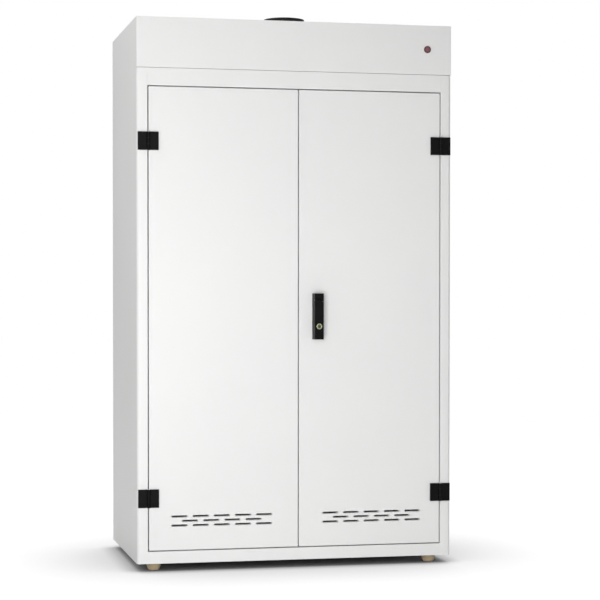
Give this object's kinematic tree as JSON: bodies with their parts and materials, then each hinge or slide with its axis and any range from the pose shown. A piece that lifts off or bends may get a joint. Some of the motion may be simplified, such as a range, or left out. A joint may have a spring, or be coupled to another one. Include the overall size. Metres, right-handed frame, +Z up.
{
  "type": "ventilated reagent cabinet",
  "caption": "Free-standing white steel two-door reagent cabinet with vented doors, rod lock, fan head compartment, roof duct collar and inside tray shelves.",
  "frame": {"origin": "bottom centre of the bounding box, on the floor under the feet", "axes": "+X to the right seen from the front, +Y from front to back, +Z up"},
  "size_m": [1, 0.6404, 1.729],
  "materials": {
    "white_powder_coat": "satin powder coat, fine texture",
    "zinc_plated_steel": "zinc plated, satin",
    "black_powder_coat": "satin black coating on die-cast zinc",
    "brass_key": "satin brass, lightly nickelled",
    "grey_rubber": "matt",
    "black_plastic": "matt moulded",
    "dark_plastic_ring": "gloss",
    "red_plastic": "gloss, translucent cap",
    "grey_plastic": "matt",
    "tan_plastic": "matt moulded"
  },
  "bodies": {
    "cabinet": {"left_side_panel": "white_powder_coat", "right_side_panel": "white_powder_coat", "back_panel": "white_powder_coat", "base_panel": "white_powder_coat", "floor_panel": "white_powder_coat", "ceiling_panel": "white_powder_coat", "roof_panel": "white_powder_coat", "header_cover": "white_powder_coat", "top_rail": "white_powder_coat", "bottom_rail": "white_powder_coat", "door_gasket": "grey_rubber", "left_frame_leaves": "black_powder_coat", "right_frame_leaves": "black_powder_coat", "hinge_pins": "zinc_plated_steel", "frame_hinge_screws": "zinc_plated_steel", "switch_body": "dark_plastic_ring", "switch_nut": "black_plastic", "duct_collar": "black_plastic", "fan_housing": "black_plastic", "intake_grille": "black_plastic", "cable_gland": "black_plastic", "terminal_box": "grey_plastic", "inner_leads": "grey_rubber", "shelf_uprights": "white_powder_coat", "shelf_trays": "white_powder_coat", "shelf_clips": "zinc_plated_steel", "spill_tray": "white_powder_coat", "feet": "tan_plastic", "foot_nuts": "zinc_plated_steel", "panel_screws": "zinc_plated_steel"},
    "left_door": {"left_door_skin": "white_powder_coat", "left_door_liner": "white_powder_coat", "left_door_stiffener": "zinc_plated_steel", "left_door_leaves": "black_powder_coat", "left_hinge_screws": "zinc_plated_steel", "upper_bolt_case": "zinc_plated_steel", "lower_bolt_case": "zinc_plated_steel"},
    "right_door": {"right_door_skin": "white_powder_coat", "right_door_liner": "white_powder_coat", "right_door_stiffener": "zinc_plated_steel", "right_door_leaves": "black_powder_coat", "right_hinge_screws": "zinc_plated_steel", "lock_base": "black_powder_coat", "lock_gearbox": "zinc_plated_steel", "rod_guides": "black_plastic", "lock_screws": "zinc_plated_steel"},
    "lock_swivel": {"lock_head": "black_powder_coat", "lock_pinion": "zinc_plated_steel", "lever_pin": "zinc_plated_steel"},
    "swing_lever": {"lock_lever": "black_powder_coat", "key_cylinder": "brass_key"},
    "key_barrel": {"key_plug": "brass_key"},
    "upper_rod_body": {"upper_rod": "zinc_plated_steel"},
    "lower_rod_body": {"lower_rod": "zinc_plated_steel"},
    "upper_bolt_body": {"upper_bolt": "zinc_plated_steel"},
    "lower_bolt_body": {"lower_bolt": "zinc_plated_steel"},
    "button": {"switch_button": "red_plastic"},
    "fan_rotor": {"fan_impeller": "black_plastic", "fan_shaft": "zinc_plated_steel"}
  },
  "joints": [
    {"name": "left_door_hinge", "type": "hinge", "parent": "cabinet", "child": "left_door", "pos_m": [-0.46475, -0.2882, 0.775], "axis": [0, 0, -1], "range_deg": [0, 110]},
    {"name": "right_door_hinge", "type": "hinge", "parent": "cabinet", "child": "right_door", "pos_m": [0.46475, -0.2882, 0.775], "axis": [0, 0, 1], "range_deg": [0, 110]},
    {"name": "handle_turn", "type": "hinge", "parent": "right_door", "child": "lock_swivel", "pos_m": [0.064, -0.3022, 0.842], "axis": [0, -1, 0], "range_deg": [0, 90]},
    {"name": "lever_lift", "type": "hinge", "parent": "lock_swivel", "child": "swing_lever", "pos_m": [0.064, -0.3142, 0.834], "axis": [-1, 0, 0], "range_deg": [0, 35]},
    {"name": "key_turn", "type": "hinge", "parent": "swing_lever", "child": "key_barrel", "pos_m": [0.064, -0.3122, 0.7525], "axis": [0, -1, 0], "range_deg": [0, 90]},
    {"name": "upper_rod_slide", "type": "slide", "parent": "right_door", "child": "upper_rod_body", "axis": [0, 0, 1], "range_m": [0, 0.018]},
    {"name": "lower_rod_slide", "type": "slide", "parent": "right_door", "child": "lower_rod_body", "axis": [0, 0, -1], "range_m": [0, 0.018]},
    {"name": "upper_bolt_slide", "type": "slide", "parent": "left_door", "child": "upper_bolt_body", "axis": [0, 0, 1], "range_m": [0, 0.016]},
    {"name": "lower_bolt_slide", "type": "slide", "parent": "left_door", "child": "lower_bolt_body", "axis": [0, 0, -1], "range_m": [0, 0.016]},
    {"name": "button_press", "type": "slide", "parent": "cabinet", "child": "button", "axis": [0, 1, 0], "range_m": [0, 0.002], "stiffness_N_per_m": 500, "springref_m": -0.001},
    {"name": "fan_spin", "type": "hinge", "parent": "cabinet", "child": "fan_rotor", "pos_m": [0, -0.0922, 1.675], "axis": [0, 0, 1], "continuous": true}
  ],
  "couplings": [
    {"joint": "upper_rod_slide", "follows": "handle_turn", "m_per_rad": 0.011459},
    {"joint": "lower_rod_slide", "follows": "handle_turn", "m_per_rad": 0.011459}
  ]
}
